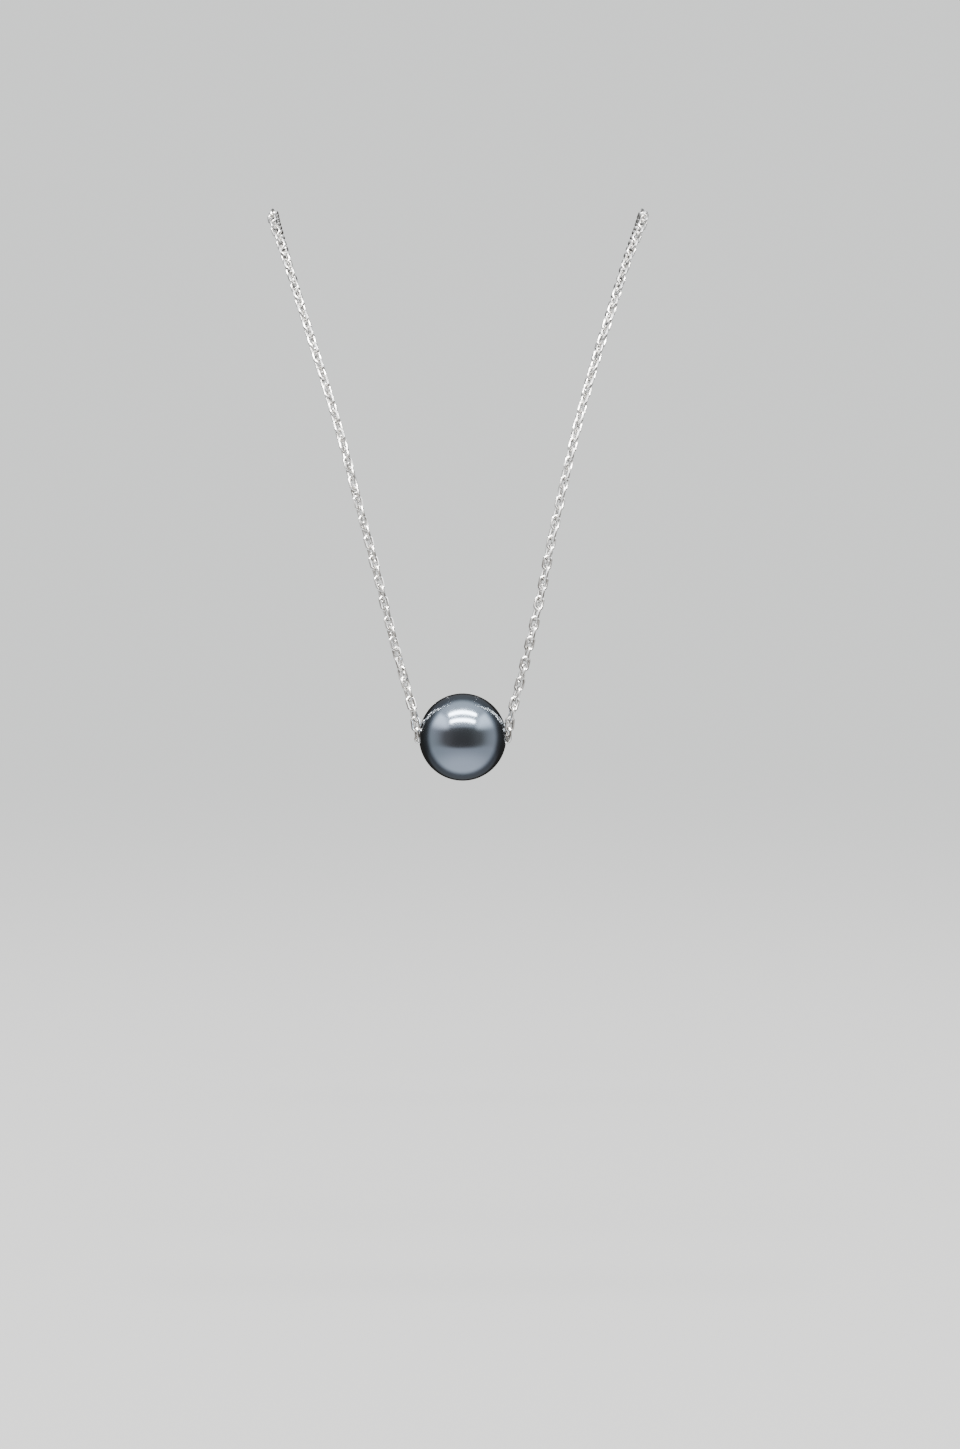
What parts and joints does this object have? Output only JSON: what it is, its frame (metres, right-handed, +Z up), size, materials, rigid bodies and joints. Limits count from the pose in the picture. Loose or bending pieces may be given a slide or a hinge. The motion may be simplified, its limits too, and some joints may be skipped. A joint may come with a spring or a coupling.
{
  "type": "pearl necklace",
  "caption": "Pearl necklace: a dark round pearl threaded loose on a fine silver oval-link cable chain, closed at the back by a spring-ring clasp. It hangs as a V from a neck rest.",
  "frame": {"origin": "on the line between the two points where the chain crosses the neck rest, in the plane of the pearl's centre", "axes": "+Z up, +X to the right as seen from the front, -Y forward, where the pearl hangs, and +Y back, where the clasp hangs"},
  "size_m": [0.0461, 0.1227, 0.0783],
  "materials": {
    "pearl_nacre": "dark blue-grey pearl, lustrous and glossy",
    "silver_chain": "polished diamond-cut silver",
    "silver_clasp": "polished silver",
    "spring_steel": "bright spring wire"
  },
  "bodies": {
    "rest": {"rest_chain_left": "silver_chain", "rest_chain_right": "silver_chain"},
    "front_1": {"front_chain_left_1": "silver_chain", "front_chain_right_1": "silver_chain"},
    "front_2": {"front_chain_left_2": "silver_chain", "front_chain_right_2": "silver_chain"},
    "front_3": {"front_chain_left_3": "silver_chain", "front_chain_right_3": "silver_chain"},
    "front_4": {"front_chain_left_4": "silver_chain", "front_chain_right_4": "silver_chain"},
    "front_5": {"front_chain_left_5": "silver_chain", "front_chain_right_5": "silver_chain", "chain_through_pearl": "silver_chain"},
    "pearl": {"pearl": "pearl_nacre"},
    "rear_1": {"rear_chain_left_1": "silver_chain", "rear_chain_right_1": "silver_chain"},
    "rear_2": {"rear_chain_left_2": "silver_chain", "rear_chain_right_2": "silver_chain"},
    "rear_3": {"rear_chain_left_3": "silver_chain", "rear_chain_right_3": "silver_chain"},
    "rear_4": {"rear_chain_left_4": "silver_chain", "rear_chain_right_4": "silver_chain"},
    "rear_5": {"rear_chain_left_5": "silver_chain", "rear_chain_right_5": "silver_chain"},
    "rear_6": {"rear_chain_left_6": "silver_chain", "rear_chain_right_6": "silver_chain"},
    "rear_7": {"rear_chain_left_7": "silver_chain", "rear_chain_right_7": "silver_chain"},
    "rear_8": {"rear_chain_left_8": "silver_chain", "rear_chain_right_8": "silver_chain", "end_link_left": "silver_chain", "end_link_right": "silver_chain", "jump_ring_left": "silver_clasp", "jump_ring_right": "silver_clasp"},
    "clasp": {"spring_ring_body": "silver_clasp", "spring_ring_eye": "silver_clasp", "spring_ring_spring": "spring_steel", "catch_ring": "silver_clasp"},
    "clasp_bolt": {"spring_ring_bolt": "silver_clasp"}
  },
  "joints": [
    {"name": "front_fold_1", "type": "hinge", "parent": "rest", "child": "front_1", "pos_m": [0, -0.00267, -0.00249], "axis": [-1, 0, 0], "range_deg": [0, 25]},
    {"name": "front_fold_2", "type": "hinge", "parent": "front_1", "child": "front_2", "pos_m": [0, -0.0116, -0.01184], "axis": [-1, 0, 0], "range_deg": [0, 25]},
    {"name": "front_fold_3", "type": "hinge", "parent": "front_2", "child": "front_3", "pos_m": [0, -0.01925, -0.02226], "axis": [-1, 0, 0], "range_deg": [0, 25]},
    {"name": "front_fold_4", "type": "hinge", "parent": "front_3", "child": "front_4", "pos_m": [0, -0.02439, -0.03408], "axis": [-1, 0, 0], "range_deg": [0, 25]},
    {"name": "front_fold_5", "type": "hinge", "parent": "front_4", "child": "front_5", "pos_m": [0, -0.0278, -0.04655], "axis": [-1, 0, 0], "range_deg": [0, 25]},
    {"name": "pearl_spin", "type": "hinge", "parent": "front_5", "child": "pearl", "pos_m": [0, -0.03045, -0.05996], "axis": [1, 0, 0], "continuous": true},
    {"name": "rear_fold_1", "type": "hinge", "parent": "rest", "child": "rear_1", "pos_m": [0, 0.00345, -0.00003], "axis": [1, 0, 0], "range_deg": [0, 20]},
    {"name": "rear_fold_2", "type": "hinge", "parent": "rear_1", "child": "rear_2", "pos_m": [0, 0.0184, -0.00144], "axis": [1, 0, 0], "range_deg": [0, 20]},
    {"name": "rear_fold_3", "type": "hinge", "parent": "rear_2", "child": "rear_3", "pos_m": [0, 0.03284, -0.00555], "axis": [1, 0, 0], "range_deg": [0, 20]},
    {"name": "rear_fold_4", "type": "hinge", "parent": "rear_3", "child": "rear_4", "pos_m": [0, 0.0463, -0.01219], "axis": [1, 0, 0], "range_deg": [0, 20]},
    {"name": "rear_fold_5", "type": "hinge", "parent": "rear_4", "child": "rear_5", "pos_m": [0, 0.05834, -0.02115], "axis": [1, 0, 0], "range_deg": [0, 20]},
    {"name": "rear_fold_6", "type": "hinge", "parent": "rear_5", "child": "rear_6", "pos_m": [0, 0.06858, -0.03213], "axis": [1, 0, 0], "range_deg": [0, 20]},
    {"name": "rear_fold_7", "type": "hinge", "parent": "rear_6", "child": "rear_7", "pos_m": [0, 0.07667, -0.04477], "axis": [1, 0, 0], "range_deg": [0, 20]},
    {"name": "rear_fold_8", "type": "hinge", "parent": "rear_7", "child": "rear_8", "pos_m": [0, 0.08228, -0.05868], "axis": [1, 0, 0], "range_deg": [0, 20]},
    {"name": "clasp_tilt", "type": "hinge", "parent": "rear_8", "child": "clasp", "pos_m": [-0.0005, 0.08562, -0.07505], "axis": [1, 0, 0], "range_deg": [-25, 25]},
    {"name": "clasp_lever", "type": "hinge", "parent": "clasp", "child": "clasp_bolt", "pos_m": [-0.0005, 0.08562, -0.07505], "axis": [0, -1, 0], "range_deg": [0, 56], "stiffness_Nm_per_rad": 0.0012, "springref_deg": -22.92, "deforming": ["spring_ring_spring"]}
  ]
}
